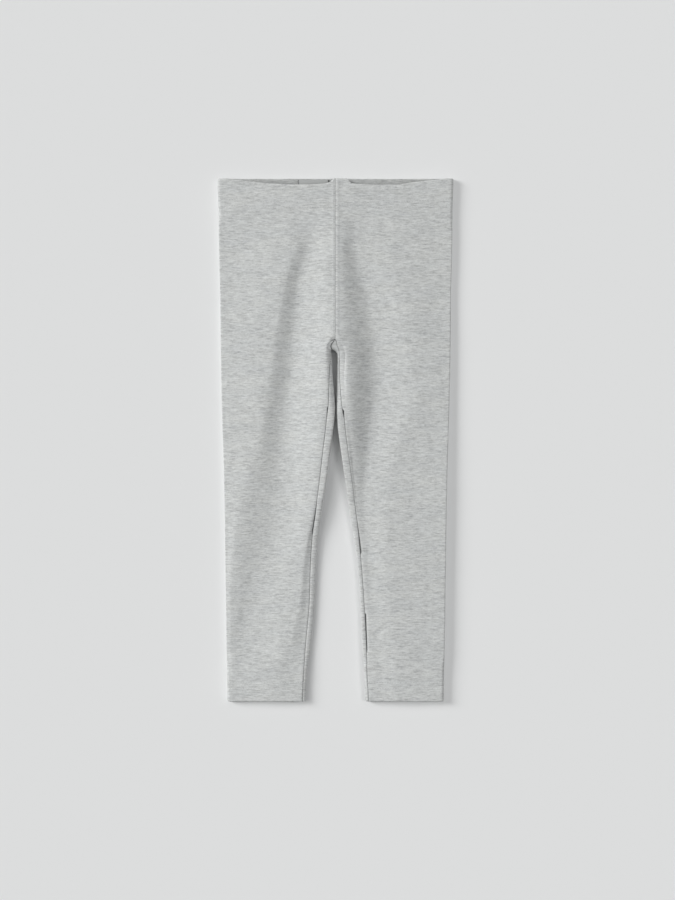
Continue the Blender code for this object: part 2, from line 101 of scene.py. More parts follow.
# rollSquare is 1 where the roll over the inner edge is an oval, and less the boxier it is.
innerColumns = ("down", "edge", "inseam", "rollWidth", "rollHeight", "rollSquare")
inner = {
    "right": {
        "columns": innerColumns,
        "rows": (
            (174.5, 4.2, 5.4, 4.9, 12.6, 0.85), (184, 3.5, 5.6, 5.4, 12.8, 0.9),
            (196, 2.8, 6.2, 5.8, 12.8, 0.9), (211, 1.6, 6.6, 6.6, 12.7, 0.82),
            (221, 0.8, 6.8, 7.2, 12.5, 0.7), (229, 0.4, 7.4, 7.4, 12.3, 0.5),
            (237, 0.9, 8.4, 7.2, 12.1, 0.3), (246, 1.7, 10.1, 7.2, 11.8, 0.22),
            (271, 5.1, 13.5, 6.8, 11.2, 0.22), (301, 9.0, 16.8, 6.4, 10.2, 0.24),
            (331, 13.8, 19.4, 5.6, 8.6, 0.35), (361, 18.0, 23.6, 5.8, 6.0, 0.6),
            (391, 19.8, 25.2, 5.8, 4.8, 0.85), (421, 21.2, 26.0, 5.4, 4.5, 0.9),
            (466, 25.0, 29.9, 5.0, 4.5, 0.9), (496, 28.7, 31.8, 4.4, 5.8, 1.0),
            (522, 30.0, 32.9, 4.0, 5.8, 1.0),
        ),
    },
    "left": {
        "columns": innerColumns,
        "rows": (
            (174.5, 2.1, 4.2, 7.2, 11.0, 1.0), (184, 1.7, 4.0, 7.0, 9.6, 0.95),
            (196, 1.5, 4.1, 6.6, 9.4, 0.85), (211, 1.3, 5.0, 6.6, 10.2, 0.8),
            (221, 1.1, 5.8, 6.8, 10.6, 0.68), (229, 1.1, 6.6, 6.8, 10.8, 0.45),
            (246, 2.0, 9.9, 6.9, 10.2, 0.22), (271, 5.2, 13.6, 6.7, 9.0, 0.22),
            (301, 9.7, 17.5, 6.3, 6.8, 0.26), (331, 14.0, 20.5, 5.6, 5.2, 0.38),
            (361, 18.9, 23.6, 5.0, 4.7, 0.36), (391, 22.8, 26.3, 4.6, 4.5, 0.32),
            (421, 25.0, 28.5, 4.4, 4.4, 0.32), (466, 27.0, 30.8, 4.1, 4.6, 0.36),
            (496, 28.7, 31.8, 2.4, 5.8, 1.0), (522, 30.0, 32.9, 2.4, 5.8, 1.0),
        ),
    },
}
# Heights of the front's upper face: outer swell, crease beside the thigh, ridge of the inner leg.
reliefColumns = (
    "down", "swellAcross", "swell", "creaseAcross", "crease", "ridgeAcross", "ridge", "centre",
)
relief = {
    "right": {
        "columns": reliefColumns,
        "rows": (
            (0, 60, 6.6, 36, 6.8, 9, 6.8, 6.8),
            (30, 56, 6.5, 30, 6.4, 9, 6.6, 6.8),
            (51, 48, 7.2, 24, 5.5, 9, 7.0, 7.2),
            (71, 43, 7.8, 26.5, 4.9, 7, 8.2, 8.4),
            (91, 49, 7.9, 33.5, 4.2, 7, 9.1, 9.3),
            (121, 55, 7.6, 38, 3.2, 5, 10.3, 10.4),
            (161, 62, 7.7, 42, 2.7, 4, 12.1, 12.0),
            (196, 66, 7.7, 45, 2.7, 10, 12.6, 12.0),
            (221, 72, 7.5, 49, 2.7, 12, 12.2, 12.0),
            (271, 80, 7.1, 53, 2.7, 16, 10.9, 12.0),
            (301, 89, 6.7, 55, 2.7, 19, 10.0, 12.0),
            (331, 95, 6.4, 58, 2.7, 22, 8.8, 12.0),
            (361, 100, 6.2, 64, 2.7, 28, 7.6, 12.0),
            (391, 103.5, 5.7, 74, 2.8, 33, 6.5, 12.0),
            (421, 104.5, 5.3, 83, 3.1, 36, 6.4, 12.0),
            (461, 104.5, 5.0, 91, 3.9, 46, 6.6, 12.0),
            (496, 103, 5.9, 95, 5.6, 62, 6.8, 12.0),
            (522, 103, 5.9, 95, 5.7, 62, 6.6, 12.0),
        ),
    },
    "left": {
        "columns": reliefColumns,
        "rows": (
            (0, 60, 6.4, 36, 6.4, 9, 6.6, 6.8),
            (30, 56, 6.4, 26, 6.2, 9, 6.6, 6.8),
            (51, 52, 6.4, 20, 5.2, 5, 7.0, 7.2),
            (71, 58, 6.4, 20, 4.2, 4.5, 8.2, 8.4),
            (91, 62, 6.4, 25, 3.3, 4, 9.2, 9.3),
            (121, 70, 6.3, 34, 2.7, 4.5, 10.3, 10.4),
            (161, 78, 6.4, 40, 2.7, 6, 12.0, 12.0),
            (196, 80, 6.6, 41, 2.7, 11, 12.0, 12.0),
            (221, 80, 6.8, 39, 2.7, 12, 11.4, 12.0),
            (246, 72, 6.8, 37, 2.7, 14, 9.8, 12.0),
            (271, 62, 6.5, 33.5, 2.9, 16, 7.8, 12.0),
            (301, 56, 6.3, 30, 3.4, 18.5, 5.6, 12.0),
            (331, 54, 6.5, 28.5, 3.9, 22, 4.6, 12.0),
            (361, 52, 6.8, 30.5, 4.2, 27, 4.5, 12.0),
            (391, 54, 7.0, 32.5, 4.5, 29, 4.7, 12.0),
            (421, 58, 7.0, 35, 4.7, 31.5, 4.8, 12.0),
            (461, 61, 7.1, 37.5, 5.1, 34, 5.0, 12.0),
            (496, 62, 7.2, 42, 6.0, 36, 5.8, 12.0),
            (522, 62, 7.0, 42, 5.9, 36, 5.8, 12.0),
        ),
    },
}
# How far the slack front waist edge dips below the back one.
dips = {
    "right": {
        "columns": ("across", "dip"),
        "rows": (
            (0, 0), (1.2, 0), (5, 3.2), (10, 5.0), (25, 6.1), (42, 6.2), (60, 5.4), (80, 3.8),
            (99, 1.2), (110, 0),
        ),
    },
    "left": {
        "columns": ("across", "dip"),
        "rows": (
            (0, 0), (11.5, 0), (16, 5.0), (30, 6.0), (45, 6.4), (60, 6.2), (72, 4.6), (84, 3.0),
            (100, 1.2), (112, 0),
        ),
    },
}


def rowSlope(rows, n, value):
    if n in (0, len(rows) - 1):
        return 0.0
    a, b, c = rows[n - 1:n + 2]
    before = (b[value] - a[value]) / (b[0] - a[0])
    after = (c[value] - b[value]) / (c[0] - b[0])
    return 2 * before * after / (before + after) if before * after > 0 else 0.0


def readTable(table, place, column):  # a smooth curve through the table's rows
    rows = table["rows"]
    value = table["columns"].index(column)
    place = min(max(place, rows[0][0]), rows[-1][0])
    n = next(i for i in range(len(rows) - 1) if place <= rows[i + 1][0])
    low, high = rows[n], rows[n + 1]
    run = high[0] - low[0]
    t = (place - low[0]) / run
    ends = low[value] * (1 + 2 * t) * (1 - t) ** 2 + high[value] * t * t * (3 - 2 * t)
    start = rowSlope(rows, n, value) * t * (1 - t) ** 2
    return ends + run * (start - rowSlope(rows, n + 1, value) * t * t * (1 - t))


def smoothStep(t):
    t = min(1.0, max(0.0, t))
    return t * t * (3 - 2 * t)


def wallMiddle(outerHeight):
    return outerHeight - cut["cloth"] / 2


def foldRadius(side, down):  # half the height of the outer fold
    return (readTable(outline[side], down, "foldHeight") - cut["cloth"]) / 2


def foldCentre(side, down):
    reach = readTable(outline[side], down, "foldReach")
    return readTable(outline[side], down, "halfWidth") - cut["cloth"] / 2 - reach


def rollPoint(side, turn, down, theta):  # theta 0 is the roll's top, pi its foot
    edge = readTable(inner[side], down, "edge") + cut["cloth"] / 2
    top = edge + readTable(inner[side], down, "rollWidth")
    legHeight = wallMiddle(readTable(inner[side], down, "rollHeight"))
    crotchHeight = wallMiddle(readTable(relief[side], cut["frontRise"], "centre"))
    height = legHeight + (crotchHeight - legHeight) * smoothStep(2 * turn / math.pi)
    seam = cut["seamGap"] / 2
    topAcross = seam + (top - seam) * math.cos(turn)
    edgeAcross = seam + (edge - seam) * math.cos(turn)
    topDown = down - (cut["forkSide"] - cut["frontRise"]) * math.sin(turn)
    edgeDown = down - (cut["forkSide"] - cut["forkEnd"]) * math.sin(turn)
    square = 1 - (1 - readTable(inner[side], down, "rollSquare")) * math.cos(turn)
    out = max(0.0, math.sin(theta)) ** square
    high = math.copysign(abs(math.cos(theta)) ** square, math.cos(theta))
    return Vector((
        topAcross + (edgeAcross - topAcross) * out,
        topDown + (edgeDown - topDown) * out,
        floor + (height - floor) / 2 * (1 + high),
    ))


def rollAlong(side, run, theta):  # run is above zero round the fork and below it on the leg
    if run > 0:
        return rollPoint(side, run / cut["forkLength"] * math.pi / 2, cut["forkSide"], theta)
    return rollPoint(side, 0.0, cut["forkSide"] - run, theta)


def inseamTheta(side, run):
    down = cut["forkSide"] - min(run, 0.0)
    edge = readTable(inner[side], down, "edge") + cut["cloth"] / 2
    inward = readTable(inner[side], down, "inseam") - edge
    share = max(0.0, 1 - inward / readTable(inner[side], down, "rollWidth"))
    theta = math.asin(share ** (1 / readTable(inner[side], down, "rollSquare")))
    return theta * (1 - max(run, 0.0) / cut["forkLength"])


def frontHeight(side, across, down, start):
    rows = relief[side]
    ridge = max(readTable(rows, down, "ridgeAcross"), start.x + 1)
    end = foldCentre(side, down)
    rim = readTable(outline[side], down, "rim")
    dropped = rim * math.exp((across - end) / cut["rimWidth"])
    knots = (
        (start.x, start.z),
        (ridge, wallMiddle(readTable(rows, down, "ridge"))),
        (readTable(rows, down, "creaseAcross"), wallMiddle(readTable(rows, down, "crease"))),
        (readTable(rows, down, "swellAcross"), wallMiddle(readTable(rows, down, "swell"))),
        (end, floor + 2 * foldRadius(side, down) + rim),
    )
    skews = (1.0, cut["flankSkew"][side], 1.0, 1.0)
    for (x0, z0), (x1, z1), skew in zip(knots, knots[1:], skews):
        if across <= x1:
            t = max(0.0, (across - x0) / (x1 - x0))
            return z0 + (z1 - z0) * smoothStep(t ** skew) - dropped
    return knots[-1][1] - rim


def lineLengths(points):
    lengths = [0.0]
    for a, b in zip(points, points[1:]):
        lengths.append(lengths[-1] + (b - a).length)
    return lengths


def bentLengths(points):  # lengths in which bends count too, so that corners get narrow cells
    lengths = [0.0]
    for n in range(1, len(points)):
        step = points[n] - points[n - 1]
        ahead = points[n + 1] - points[n] if n + 1 < len(points) else step
        lengths.append(lengths[-1] + step.length + mesh["bendPitch"] * step.angle(ahead, 0.0))
    return lengths


def pointsAt(points, places, lengths=None):
    found = []
    lengths = lengths or lineLengths(points)
    i = 0
    for place in places:
        while i < len(points) - 2 and lengths[i + 1] < place:
            i += 1
        step = lengths[i + 1] - lengths[i]
        found.append(points[i].lerp(points[i + 1], (place - lengths[i]) / step if step else 0))
    return found


def fromSeam(points, count, trim=0.0):
    low = trim + cut["seamLip"]
    edge, lip = pointsAt(points, [trim, low])
    rest = [lip] + [point for point, length in zip(points, lineLengths(points)) if length > low]
    lengths = bentLengths(rest)
    return [edge] + pointsAt(rest, [lengths[-1] * n / (count - 1) for n in range(count)], lengths)


def toSeam(points, count, trim=0.0):
    return fromSeam(points[::-1], count, trim)[::-1]


def acrossFront(side, start):
    end = foldCentre(side, start.y)
    line = []
    for n in range(mesh["frontSteps"] + 1):
        across = start.x + (end - start.x) * n / mesh["frontSteps"]
        line.append(Vector((across, start.y, frontHeight(side, across, start.y, start))))
    return line


def overRoll(side, run, theta):
    if theta < 0.02:
        return []
    count = mesh["overSteps"]
    return [rollAlong(side, run, theta * (1 - n / count)) for n in range(count)]


def rollPath(side, low, high, theta):
    path = []
    for n in range(mesh["rollSteps"] + 1):
        t = n / mesh["rollSteps"]
        path.append(rollAlong(side, low + (high - low) * t, math.pi + (theta - math.pi) * t))
    return path


def foldLine(side, down):  # round corners above and below an upright side
    radius = foldRadius(side, down)
    reach = readTable(outline[side], down, "foldReach")
    centre = foldCentre(side, down)
    half = mesh["fold"] // 2
    line = []
    for n in range(mesh["fold"] + 1):
        theta = math.pi * n / mesh["fold"]
        upright = (radius - reach) * ((n < half) - (n > half))
        high = floor + radius + reach * math.cos(theta) + upright
        line.append(Vector((centre + reach * math.sin(theta), down, high)))
    return line


def backLine(side, down, end):
    start = Vector((foldCentre(side, down), down, floor))
    line = []
    for n in range(mesh["back"] + 1):
        t = n / mesh["back"]
        point = start.lerp(end, t)
        point.y = down + (end.y - down) * t * t
        line.append(point)
    return line


def joinLines(*lines):
    whole = list(lines[0])
    for line in lines[1:]:
        whole += line[1:]
    return whole


def bodyRow(side, down):  # above the crotch, from the front seam to the back seam
    rise = cut["frontRise"] - down
    start = Vector((cut["seamGap"] / 2, down, wallMiddle(readTable(relief[side], down, "centre"))))
    passed = rise + cut["backEase"] * (1 - math.exp(-rise / cut["easeFades"]))
    if passed < cut["backEase"]:
        share = passed / cut["backEase"]
        low = cut["forkLength"] - cut["forkSag"] * (1 - (1 - cut["sagLeft"]) * share)
        nearSeam = rollPath(side, low, cut["forkLength"], math.pi * share)
    else:
        onGround = passed - cut["backEase"]
        centre = Vector((cut["seamGap"] / 2, cut["frontRise"] - onGround, floor))
        grows = 1 - math.exp(-onGround / cut["backEase"])
        reach = cut["backReach"][0] + (cut["backReach"][1] - cut["backReach"][0]) * grows
        share = 1 - reach / foldCentre(side, down)
        near = Vector((reach, down + (centre.y - down) * share * share, floor))
        nearSeam = [near, centre]
    front = fromSeam(acrossFront(side, start), mesh["front"])
    back = backLine(side, down, nearSeam[0])
    return joinLines(front, foldLine(side, down), back, toSeam(nearSeam, mesh["roll"]))


def legRow(side, run):  # at or below the crotch, from the inseam round the leg and back to it
    theta = inseamTheta(side, run)
    start = rollAlong(side, run, 0.0)
    low = run - cut["forkSag"] * math.exp((run - cut["forkLength"]) / cut["sagFades"])
    path = rollPath(side, low, run, theta)
    trim = cut["seamGap"] / 2
    front = fromSeam(overRoll(side, run, theta) + acrossFront(side, start), mesh["front"], trim)
    back = backLine(side, start.y, path[0])
    return joinLines(front, foldLine(side, start.y), back, toSeam(path, mesh["roll"], trim))


def rowAt(side, down):
    if down < cut["frontRise"]:
        return bodyRow(side, down)
    return legRow(side, cut["forkSide"] - down)


def inwardOf(row):  # into the leg, square to the row, alike on both sides of a seam
    directions = []
    for n in range(len(row)):
        along = row[min(n + 1, len(row) - 1)] - row[max(n - 1, 0)]
        directions.append(Vector((along.z, 0, -along.x)).normalized())
    if row[0].y < cut["frontRise"]:
        directions[0] = Vector((0, 0, -1))
        directions[-1] = Vector((0, 0, 1))
    else:
        directions[0] = (directions[0] + directions[-1]).normalized()
        directions[-1] = directions[0]
    return directions


def turnedRow(side, down, psi, away):  # turned in over an edge by psi, pi on the inner ply
    base = rowAt(side, down)
    radius = cut["turnRadius"]
    over = Vector((0, away * radius * math.sin(psi), 0))
    depth = radius * (1 - math.cos(psi))
    return [point + over + depth * into for point, into in zip(base, inwardOf(base))]


# Small creases, given one by one: each runs from one place to another, both across and down.
# A depth below zero is a trough. Those on the back rise off the ground.
creases = {
    "right": (
        {"from": (3, 150), "to": (24, 132), "width": 2.6, "depth": 0.35},
        {"from": (1, 159), "to": (4, 169), "width": 1.6, "depth": -0.9},
        {"from": (6, 158), "to": (34, 148), "width": 2.8, "depth": 0.4},
        {"from": (10, 172), "to": (38, 166), "width": 3.0, "depth": 0.3},
        {"from": (8, 190), "to": (30, 196), "width": 3.2, "depth": -0.25},
        {"from": (70, 60), "to": (96, 70), "width": 5.0, "depth": -0.3},
        {"from": (60, 150), "to": (98, 138), "width": 6.0, "depth": 0.3},
        {"from": (80, 250), "to": (106, 262), "width": 6.0, "depth": -0.3},
        {"from": (44, 380), "to": (74, 400), "width": 6.0, "depth": 0.3},
        {"from": (52, 470), "to": (90, 462), "width": 5.0, "depth": -0.25},
    ),
    "left": (
        {"from": (4, 152), "to": (26, 138), "width": 2.6, "depth": 0.35},
        {"from": (4, 160), "to": (7, 170), "width": 2.0, "depth": 0.7},
        {"from": (8, 166), "to": (36, 160), "width": 3.0, "depth": 0.3},
        {"from": (10, 184), "to": (34, 190), "width": 3.0, "depth": -0.3},
        {"from": (50, 96), "to": (84, 84), "width": 5.0, "depth": 0.3},
        {"from": (62, 210), "to": (98, 200), "width": 6.0, "depth": -0.3},
        {"from": (46, 330), "to": (70, 322), "width": 5.0, "depth": 0.3},
        {"from": (60, 420), "to": (96, 432), "width": 6.0, "depth": 0.3},
    ),
}
backCreases = {
    "right": (
        {"from": (8, 150), "to": (46, 128), "width": 5.0, "depth": 0.7},
        {"from": (10, 172), "to": (60, 158), "width": 6.0, "depth": 0.8},
        {"from": (14, 200), "to": (52, 214), "width": 5.0, "depth": 0.6},
        {"from": (40, 300), "to": (88, 318), "width": 7.0, "depth": 0.7},
        {"from": (44, 420), "to": (80, 408), "width": 6.0, "depth": 0.5},
    ),
    "left": (
        {"from": (8, 146), "to": (40, 118), "width": 5.0, "depth": 0.7},
        {"from": (12, 178), "to": (64, 170), "width": 6.0, "depth": 0.8},
        {"from": (16, 208), "to": (48, 226), "width": 5.0, "depth": 0.5},
        {"from": (46, 340), "to": (92, 330), "width": 7.0, "depth": 0.7},
        {"from": (48, 440), "to": (82, 452), "width": 6.0, "depth": 0.5},
    ),
}
# The crotch point is drawn towards the right leg, and the left panel's cloth covers it.
pucker = {"aside": -4.6, "down": 167.5, "length": 5.0, "width": 7.0, "above": 1.6}
surface = {
    "welt": 0.3,  # rise of the seam allowances under the centre seam
    "weltWidth": 3.6,
    "seamPull": 0.4,  # how far the thread draws the two edges in
    "seamPullWidth": 0.7,
    "slack": 0.22,  # slow unevenness of cloth that nothing stretches
    "slackSize": 34.0,
    "fineSlack": 0.35,  # the finer unevenness, as a share of the slow one
    "seeds": {"slack": 300.0, "fine": 40.0, "wander": 7.0},
    "foldCalm": 12.0,  # the cloth is even this near the outer fold
    "seamCalm": 6.0,  # and this near the back seam
    "edgeCalm": 30.0,
    "creaseTail": 0.4,  # how far a crease runs past its ends, as a share of its length
    "creaseFade": 0.6,  # the share of its length over which it rises and fades
    "edgeWander": 0.35,  # unevenness of the waist and hem edges
    "edgeReach": 25.0,  # how far from an edge that is felt
    "grooveShadeStrength": {"centre": 0.3, "right": 1.0, "left": 0.8},  # how dark the painted shade along each seam's groove is
    "backShows": 0.8,  # how far the back hem shows below the front one
}


def creaseHeight(table, across, down):
    height = 0.0
    for crease in table:
        start = Vector(crease["from"])
        line = Vector(crease["to"]) - start
        place = Vector((across, down)) - start
        along = place.dot(line) / line.length_squared
        off = (place - line * along).length / crease["width"]
        tail, fade = surface["creaseTail"], surface["creaseFade"]
        if off > 3 or not -tail < along < 1 + tail:
            continue
        ends = smoothStep((along + tail) / fade) * smoothStep((1 + tail - along) / fade)
        height += crease["depth"] * ends * math.exp(-off * off)
    return height


def settled(side, point, part):  # the point with the cloth's own unevenness
    across = sides[side] * point.x
    size, seeds = surface["slackSize"], surface["seeds"]
    slack = noise.noise(Vector((across + seeds["slack"], point.y * 0.6, 0)) / size)
    fine = noise.noise(Vector((across, point.y * 0.7, seeds["fine"])) / (size / 3))
    raised = point.copy()
    below, above = point.y - 4, cut["length"] - 4 - point.y
    edges = smoothStep(below / surface["edgeCalm"]) * smoothStep(above / surface["edgeCalm"])
    fromFold = smoothStep((foldCentre(side, point.y) - point.x) / surface["foldCalm"])
    if part == "front":
        uneven = surface["slack"] * (slack + surface["fineSlack"] * fine)
        raised.z += uneven * fromFold * (0.4 + 0.6 * edges)
        raised.z += creaseHeight(creases[side], point.x, point.y) * fromFold * edges
        if point.y < cut["frontRise"]:
            off = point.x / surface["weltWidth"]
            raised.z += surface["welt"] * math.exp(-(off ** 4))
    elif part == "back":
        reach = fromFold * smoothStep(point.x / surface["seamCalm"])
        raised.z += creaseHeight(backCreases[side], point.x, point.y) * reach * edges
    return raised


def wander(side, point):  # how far an edge strays along the leg
    near = max(0.0, 1 - min(point.y, cut["length"] - point.y) / surface["edgeReach"])
    across = sides[side] * point.x
    stray = noise.noise(Vector((across / 26, point.y / 300, surface["seeds"]["wander"])))
    return surface["edgeWander"] * stray * near


def clothRows(side):
    turns = [math.pi * n / mesh["turn"] for n in range(mesh["turn"] + 1)]
    turnDown = cut["turnRadius"] + cut["cloth"] / 2
    rows = []
    for n in range(mesh["casingRows"]):
        rows.append(turnedRow(side, cut["casingDepth"] - n * mesh["plyPitch"], math.pi, 0))
    for psi in reversed(turns):
        rows.append(turnedRow(side, turnDown, psi, -1))
    first, dense = mesh["firstDown"], mesh["denseDown"]
    count = round((dense - first) / mesh["rowPitch"])
    for n in range(count + 1):
        rows.append(bodyRow(side, first + (dense - first) * n / count))
    for n in range(1, mesh["denseRows"]):
        rows.append(bodyRow(side, dense + (cut["frontRise"] - dense) * n / mesh["denseRows"]))
    for n in range(mesh["fork"] + 1):
        rows.append(legRow(side, cut["forkLength"] * (1 - n / mesh["fork"])))
    last = cut["length"] - first
    count = round((last - cut["forkSide"]) / mesh["rowPitch"])
    for n in range(1, count + 1):
        rows.append(legRow(side, -(last - cut["forkSide"]) * n / count))
    for psi in turns:
        rows.append(turnedRow(side, cut["length"] - turnDown, psi, 1))
    top = cut["length"] - cut["hemDepth"]
    for n in reversed(range(mesh["hemRows"])):
        rows.append(turnedRow(side, top + n * mesh["plyPitch"], math.pi, 0))
    return [finishedRow(side, row) for row in rows]


def finishedRow(side, row):
    done = []
    frontEnd = mesh["front"]
    backStart = mesh["front"] + mesh["fold"]
    backEnd = backStart + mesh["back"]
    for n, point in enumerate(row):
        part = "front" if n <= frontEnd else "back" if backStart <= n < backEnd else "round"
        moved = settled(side, point, part)
        fade = max(0.0, 1 - point.y / cut["dipFades"])
        dip = readTable(dips[side], point.x, "dip") * fade if n <= frontEnd else 0
        moved.y += dip + wander(side, point)
        if part == "back":
            near = max(0.0, 1 - (cut["length"] - point.y) / surface["edgeReach"])
            moved.y += surface["backShows"] * near
        done.append(moved)
    return done


def toFrame(side, point):
    across = sides[side] * point.x
    off = (across / pucker["width"]) ** 2 + ((point.y - pucker["down"]) / pucker["length"]) ** 2
    if point.z > pucker["above"]:
        across += pucker["aside"] * math.exp(-off)
    return Vector((across, cut["length"] / 2 - point.y, point.z)) * mm


def drawEdgesIn(rows):  # a seam's thread draws its edges in, but not where they lie on the ground
    for row in rows:
        lengths = lineLengths(row)
        inward = inwardOf(row)
        moved = []
        for n, point in enumerate(row):
            near = min(lengths[n], lengths[-1] - lengths[n]) / surface["seamPullWidth"]
            pull = surface["seamPull"] * math.exp(-near * near) if near < 3 else 0.0
            moved.append(point + inward[n] * pull if point.z > 2 * floor + 0.2 else point)
        row[:] = moved
    return rows


def legCloth(side, finish):
    rows = drawEdgesIn(clothRows(side))
    across = len(rows[0])
    made = bpy.data.meshes.new(f"{side}LegCloth")
    bm = bmesh.new()
    bmesh.ops.create_grid(bm, x_segments=across - 1, y_segments=len(rows) - 1, size=1)
    bm.verts.ensure_lookup_table()
    middle = mesh["front"] + mesh["fold"] // 2  # the outer fold, where the grain line runs
    waist = mesh["casingRows"] + mesh["turn"] // 2
    ankle = len(rows) - 1 - mesh["hemRows"] - mesh["turn"] // 2
    grain = []
    for i, row in enumerate(rows):
        lengths = lineLengths(row)
        for j, point in enumerate(row):
            down = cut["casingDepth"] + (-point.y if i < waist else point.y)
            if i > ankle:
                down = cut["casingDepth"] + 2 * cut["length"] - point.y
            grain.append(((lengths[j] - lengths[middle]) * mm, down * mm))
    for n, point in enumerate(p for row in rows for p in row):
        bm.verts[n].co = toFrame(side, point)
    uvLayer = bm.loops.layers.uv.new("grain")
    # Painted shade: a weight on each seam's edge verts darkens the cloth along the seam's groove.
    grooveShadeLayer = bm.verts.layers.float.new("nearSeam")
    for n in range(len(rows)):
        for column in (0, across - 1):
            line = "centre" if rows[n][0].y < cut["frontRise"] - 4 else side
            bm.verts[n * across + column][grooveShadeLayer] = surface["grooveShadeStrength"][line]
    for face in bm.faces:
        face.smooth = True
        for loop in face.loops:
            loop[uvLayer].uv = grain[loop.vert.index]
    if sides[side] > 0:
        bmesh.ops.reverse_faces(bm, faces=bm.faces)
    bm.to_mesh(made)
    bm.free()
    piece = bpy.data.objects.new(made.name, made)
    bpy.context.scene.collection.objects.link(piece)
    wall = piece.modifiers.new("cloth", "SOLIDIFY")
    wall.thickness = cut["cloth"] * mm
    wall.offset = 0.0
    piece.data.materials.append(finish)
    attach(piece, "root")
    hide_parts(f"{side}_leg_panel")
    return piece, rows


# Materials

jersey = {
    "color": (0.550, 0.561, 0.554),
    "panelShade": {"right": 1.0, "left": 0.97},  # the left panel's colour is 3 per cent darker than the right's
    "panelShift": {"right": 0.0, "left": 61.7},  # so that the two panels' marl differs
    "casingPaintedShade": 0.74,  # painted shade on the casing's inner ply inside the back waist, as a share of its colour
    "grooveShadePainted": 0.2,  # the cloth's cut edge in a seam
    "darkStreak": 0.69,  # painted shade in a seam's groove, as a share of the cloth's colour
    "lightStreak": 1.24,
    "streakLength": 9.0,
    "streakRoughness": 0.72,
    "yarnHeight": 0.86,  # each row of yarn has its own streaks
    "yarnStep": 17.37,  # how far apart two rows' streaks are in the noise
    "fleck": {"length": 1.7, "color": (0.82, 0.82, 0.84)},  # sizes as shares of a streak's
    "mottle": {"length": 6, "height": 15, "color": (0.965, 0.97, 0.975)},
    "waleWidth": 0.85,
    "courseHeight": 0.65,
    "knitDepth": 0.06,
    "roughness": 0.88,
    "sheen": 0.6,
    "sheenRoughness": 0.3,
    "specular": 0.25,
}


def newMaterial(name):
    made = bpy.data.materials.new(name)
    made.use_nodes = True
    return made, made.node_tree.nodes, made.node_tree.links


def mathNode(nodes, links, operation, first, second=None):
    node = nodes.new("ShaderNodeMath")
    node.operation = operation
    for n, value in enumerate((first, second)):
        if value is None:
            continue
        if isinstance(value, (int, float)):
            node.inputs[n].default_value = value
        else:
            links.new(value, node.inputs[n])
    return node.outputs["Value"]


def scaledGrain(nodes, links, width, height, shift=(0.0, 0.0)):  # in cells of this size in mm
    uv = nodes.new("ShaderNodeUVMap")
    uv.uv_map = "grain"
    mapping = nodes.new("ShaderNodeMapping")
    mapping.inputs["Scale"].default_value = (1 / (width * mm), 1 / (height * mm), 1)
    mapping.inputs["Location"].default_value = (shift[0], shift[1], 0)
    links.new(uv.outputs["UV"], mapping.inputs["Vector"])
    return mapping.outputs["Vector"]


def slowNoise(nodes, links, width, height, shift):
    texture = nodes.new("ShaderNodeTexNoise")
    texture.noise_dimensions = "2D"
    texture.inputs["Scale"].default_value = 1.0
    texture.inputs["Detail"].default_value = 1.0
    texture.inputs["Roughness"].default_value = 0.6
    links.new(scaledGrain(nodes, links, width, height, shift), texture.inputs["Vector"])
    return texture.outputs["Fac"]


def yarnStreaks(nodes, links, length, height, detail, shift):  # streaks that differ row by row
    split = nodes.new("ShaderNodeSeparateXYZ")
    links.new(scaledGrain(nodes, links, length, height, (shift, 0.0)), split.inputs["Vector"])
    course = mathNode(nodes, links, "FLOOR", split.outputs["Y"])
    joined = nodes.new("ShaderNodeCombineXYZ")
    links.new(split.outputs["X"], joined.inputs["X"])
    links.new(mathNode(nodes, links, "MULTIPLY", course, jersey["yarnStep"]), joined.inputs["Y"])
    texture = nodes.new("ShaderNodeTexNoise")
    texture.noise_dimensions = "2D"
    texture.inputs["Scale"].default_value = 1.0
    texture.inputs["Detail"].default_value = detail
    texture.inputs["Roughness"].default_value = jersey["streakRoughness"]
    links.new(joined.outputs["Vector"], texture.inputs["Vector"])
    return texture.outputs["Fac"]


def ramp(nodes, links, source, stops):
    node = nodes.new("ShaderNodeValToRGB")
    node.color_ramp.interpolation = "LINEAR"
    node.color_ramp.elements[0].position = stops[0][0]
    node.color_ramp.elements[0].color = (*stops[0][1], 1)
    node.color_ramp.elements[1].position = stops[-1][0]
    node.color_ramp.elements[1].color = (*stops[-1][1], 1)
    for place, color in stops[1:-1]:
        node.color_ramp.elements.new(place).color = (*color, 1)
    links.new(source, node.inputs["Fac"])
    return node.outputs["Color"]


def multiply(nodes, links, first, second):
    node = nodes.new("ShaderNodeMix")
    node.data_type = "RGBA"
    node.blend_type = "MULTIPLY"
    node.inputs["Factor"].default_value = 1.0
    links.new(first, node.inputs["A"])
    links.new(second, node.inputs["B"])
    return node.outputs["Result"]


def bumpFrom(nodes, links, height, strength, depth):
    node = nodes.new("ShaderNodeBump")
    node.inputs["Strength"].default_value = strength
    node.inputs["Distance"].default_value = depth * mm
    links.new(height, node.inputs["Height"])
    return node.outputs["Normal"]


def shade(color, share):
    return tuple(c * share for c in color)


def plainKnit(nodes, links):  # upright ribs of stitches, each with its own small loops
    split = nodes.new("ShaderNodeSeparateXYZ")
    cells = scaledGrain(nodes, links, jersey["waleWidth"], jersey["courseHeight"])
    links.new(cells, split.inputs["Vector"])
    wale = mathNode(nodes, links, "PINGPONG", split.outputs["X"], 0.5)
    course = mathNode(nodes, links, "ADD", split.outputs["Y"], wale)
    loop = mathNode(nodes, links, "PINGPONG", course, 0.5)
    knit = mathNode(nodes, links, "ADD", wale, mathNode(nodes, links, "MULTIPLY", loop, 0.8))
    return bumpFrom(nodes, links, knit, 0.6, jersey["knitDepth"])


